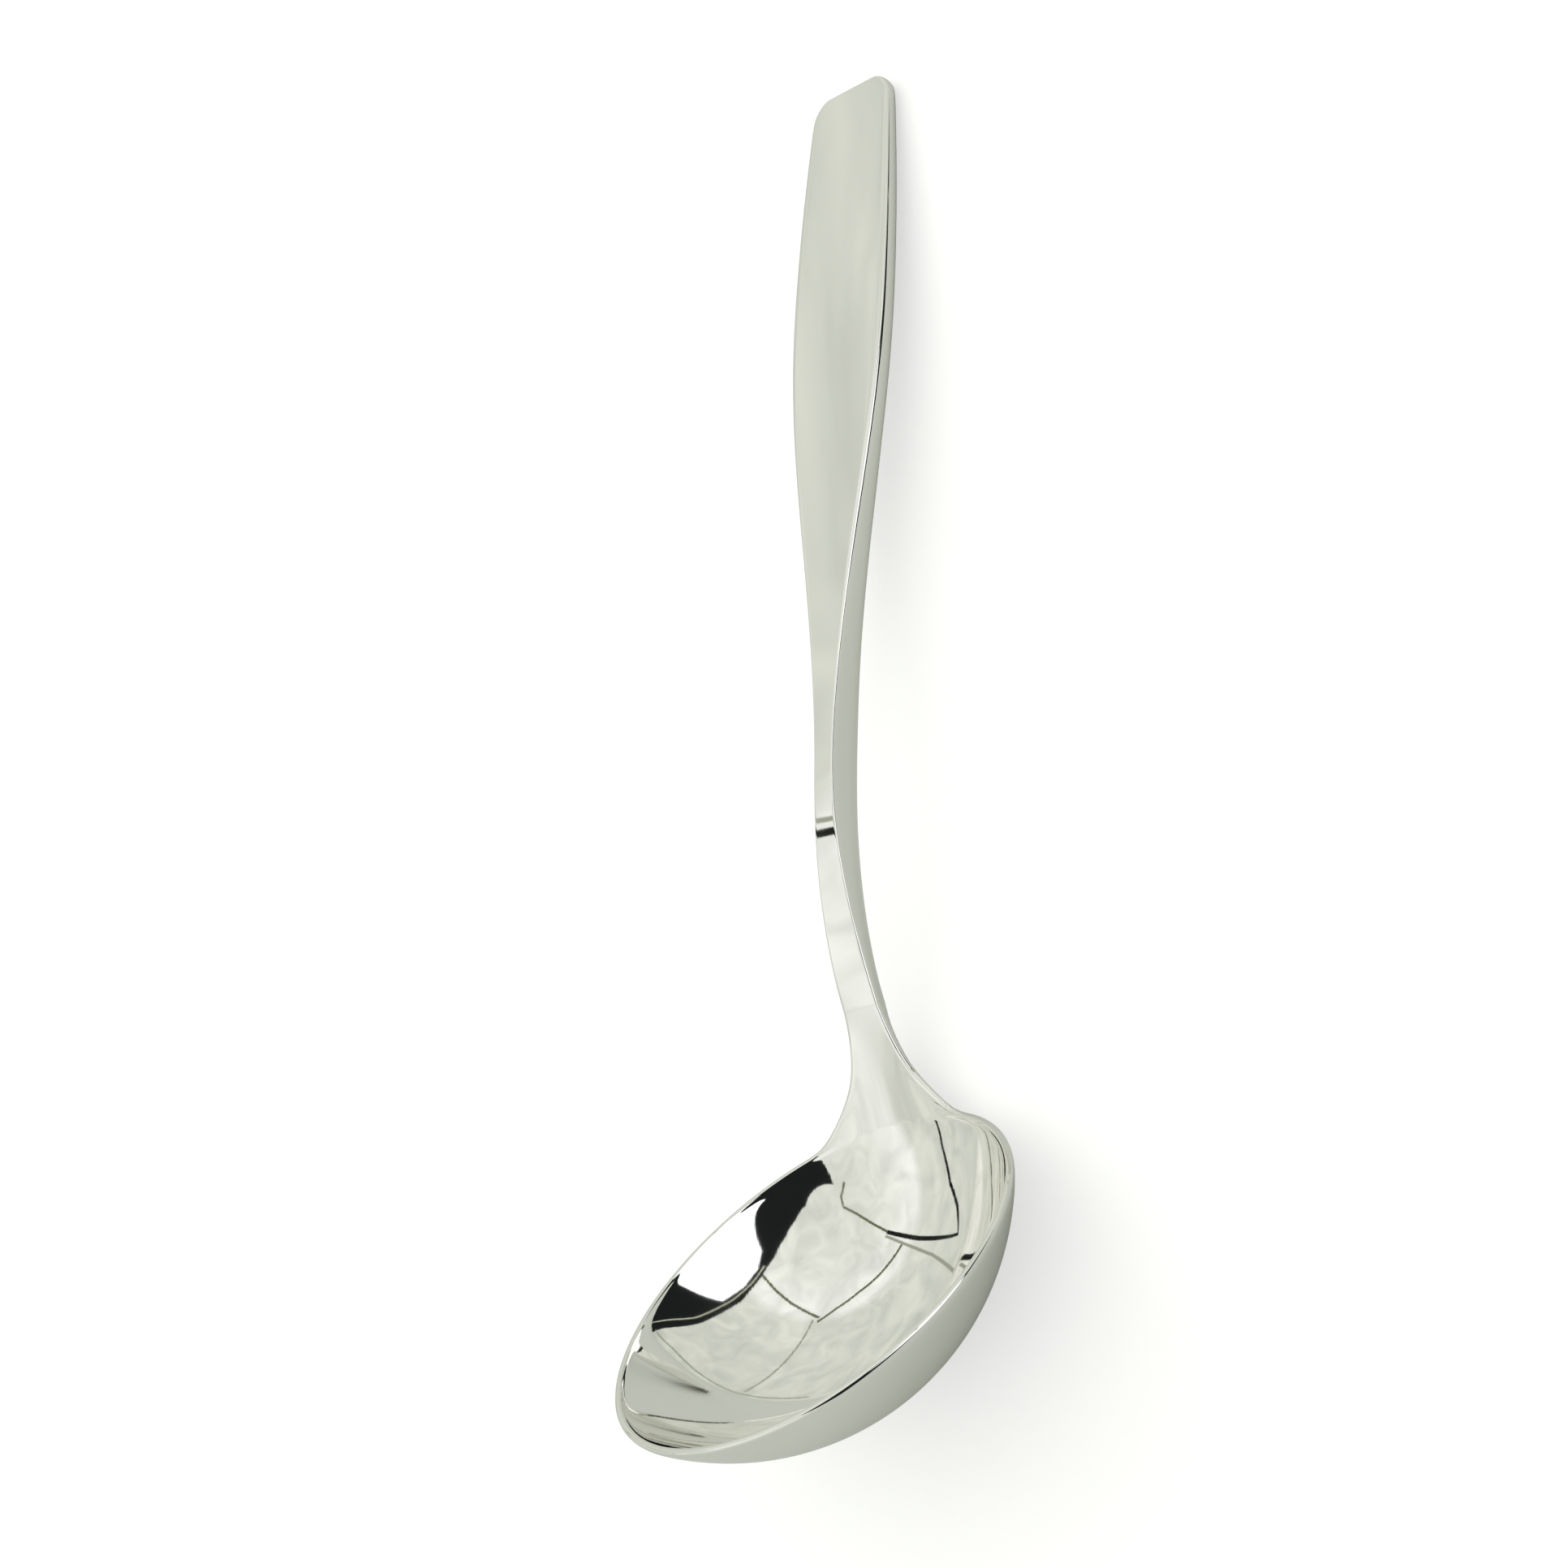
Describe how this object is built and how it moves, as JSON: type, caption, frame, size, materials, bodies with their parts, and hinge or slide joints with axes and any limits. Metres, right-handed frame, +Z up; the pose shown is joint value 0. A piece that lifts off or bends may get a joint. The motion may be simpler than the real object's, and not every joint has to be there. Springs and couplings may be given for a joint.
{
  "type": "sauce ladle",
  "caption": "Polished silver sauce ladle: round deep bowl drawn out into a tongue, soldered to a forged handle that bends at the neck and widens into a flat grip.",
  "frame": {"origin": "centre of the footprint, on the table that the ladle lies on", "axes": "+X from the handle towards the lip of the bowl, +Z up from the table, XZ is the plane of symmetry"},
  "size_m": [0.1851, 0.054, 0.0354],
  "materials": {
    "bowl_silver": "mirror-polished sterling silver",
    "handle_silver": "mirror-polished sterling silver, slightly hazed by handling",
    "solder": "hard silver solder, filed and polished flush"
  },
  "bodies": {
    "root": {"bowl": "bowl_silver", "handle": "handle_silver", "solder_joint": "solder"}
  },
  "joints": []
}
